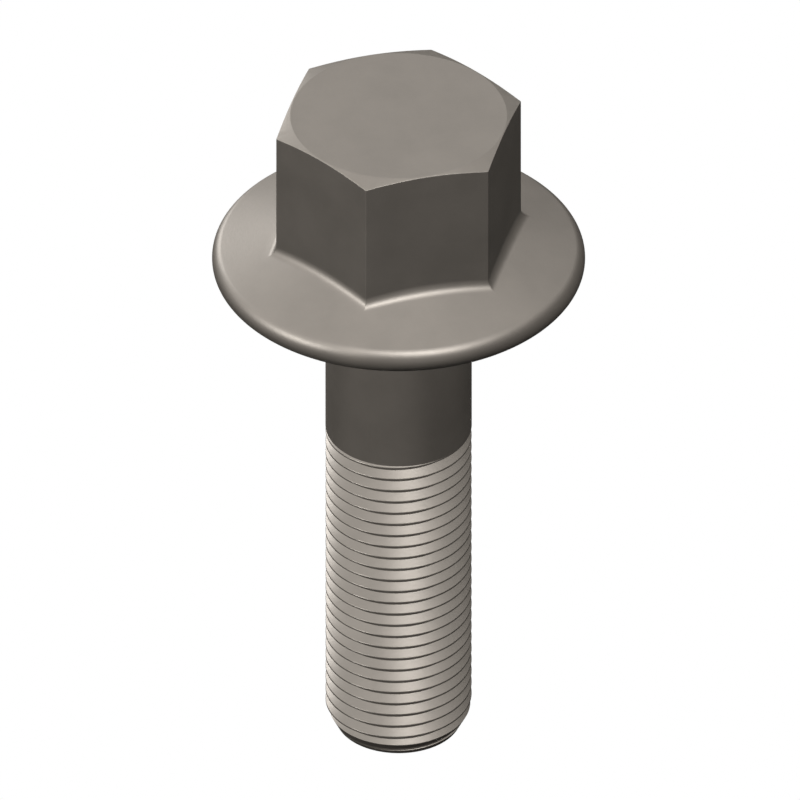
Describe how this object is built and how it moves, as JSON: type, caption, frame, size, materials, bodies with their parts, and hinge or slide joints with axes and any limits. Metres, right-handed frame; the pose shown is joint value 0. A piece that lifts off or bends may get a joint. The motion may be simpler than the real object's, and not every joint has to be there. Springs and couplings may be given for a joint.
{
  "type": "flange bolt",
  "caption": "Hexagon head bolt with a wide conical flange under the head, a plain shank, a fine right-hand thread and a chamfered point.",
  "frame": {"origin": "centre of the flange's flat bearing face, on the bolt's axis", "axes": "+Z along the shank from the bearing face to the point, so that the bolt stands on its head; +X through one corner of the hexagon"},
  "size_m": [0.0408, 0.0408, 0.0805],
  "materials": {
    "steel": "satin"
  },
  "bodies": {
    "root": {"flange_bolt": "steel"}
  },
  "joints": []
}
